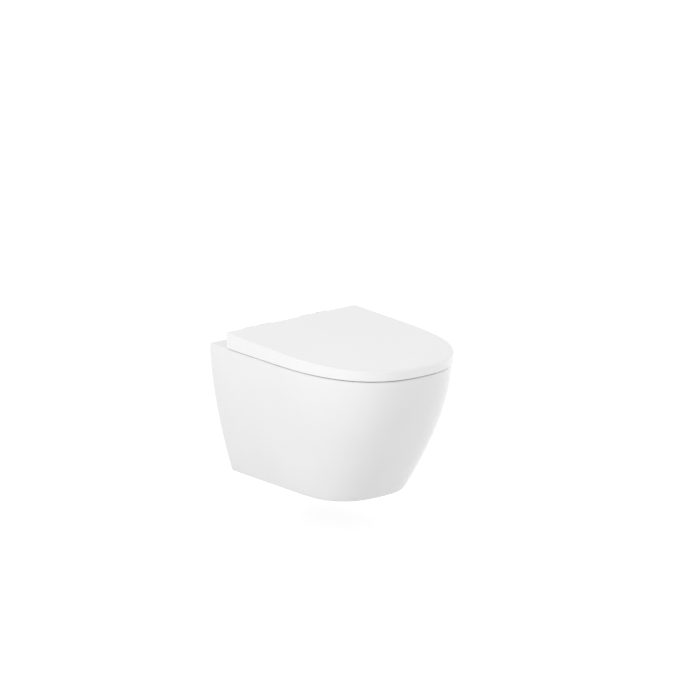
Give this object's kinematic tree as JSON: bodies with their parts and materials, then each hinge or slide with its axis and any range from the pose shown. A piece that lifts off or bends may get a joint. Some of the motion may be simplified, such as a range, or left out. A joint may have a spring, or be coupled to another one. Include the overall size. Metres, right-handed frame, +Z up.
{
  "type": "wall hung toilet",
  "caption": "Wall-hung toilet: tapered pan with a rounded front, rimless bowl, trapway and outlet spigot, under a hinged seat and slim lid.",
  "frame": {"origin": "on the wall face, on the centre line, at the height of the two wall studs", "axes": "+Z up, -Y out from the wall towards the front of the pan, +X to the right of someone facing it"},
  "size_m": [0.3674, 0.5017, 0.3349],
  "materials": {
    "china": "glossy white glaze",
    "seat_plastic": "glossy white",
    "chrome": "polished",
    "pin_steel": "ground",
    "zinc_steel": "zinc plated",
    "seal_rubber": "matt black",
    "buffer_rubber": "matt white",
    "clear_soft": "matt grey",
    "nylon": "natural",
    "guide_plastic": "satin",
    "damper_plastic": "satin"
  },
  "bodies": {
    "pan": {"pan_body": "china", "bulkhead": "china", "bowl": "china", "trapway": "china", "flush_channel": "china", "flush_seal": "seal_rubber", "flush_guide": "guide_plastic", "stud_sleeves": "nylon", "bracket_nuts": "zinc_steel", "seat_bolts": "zinc_steel", "deck_bushes": "seal_rubber", "base_pads": "clear_soft", "hinge_pins": "pin_steel", "hinge_posts": "chrome", "fixing_brackets": "zinc_steel"},
    "seat": {"seat_ring": "seat_plastic", "seat_damper": "damper_plastic", "seat_bush": "nylon", "seat_front_buffers": "buffer_rubber", "seat_rear_buffers": "buffer_rubber"},
    "lid": {"lid_shell": "seat_plastic", "lid_damper": "damper_plastic", "lid_bush": "nylon", "lid_buffers": "buffer_rubber"}
  },
  "joints": [
    {"name": "seat_hinge", "type": "hinge", "parent": "pan", "child": "seat", "pos_m": [0, -0.041, 0.103], "axis": [-1, 0, 0], "range_deg": [0, 95]},
    {"name": "lid_hinge", "type": "hinge", "parent": "seat", "child": "lid", "pos_m": [0, -0.041, 0.103], "axis": [-1, 0, 0], "range_deg": [0, 95]}
  ]
}
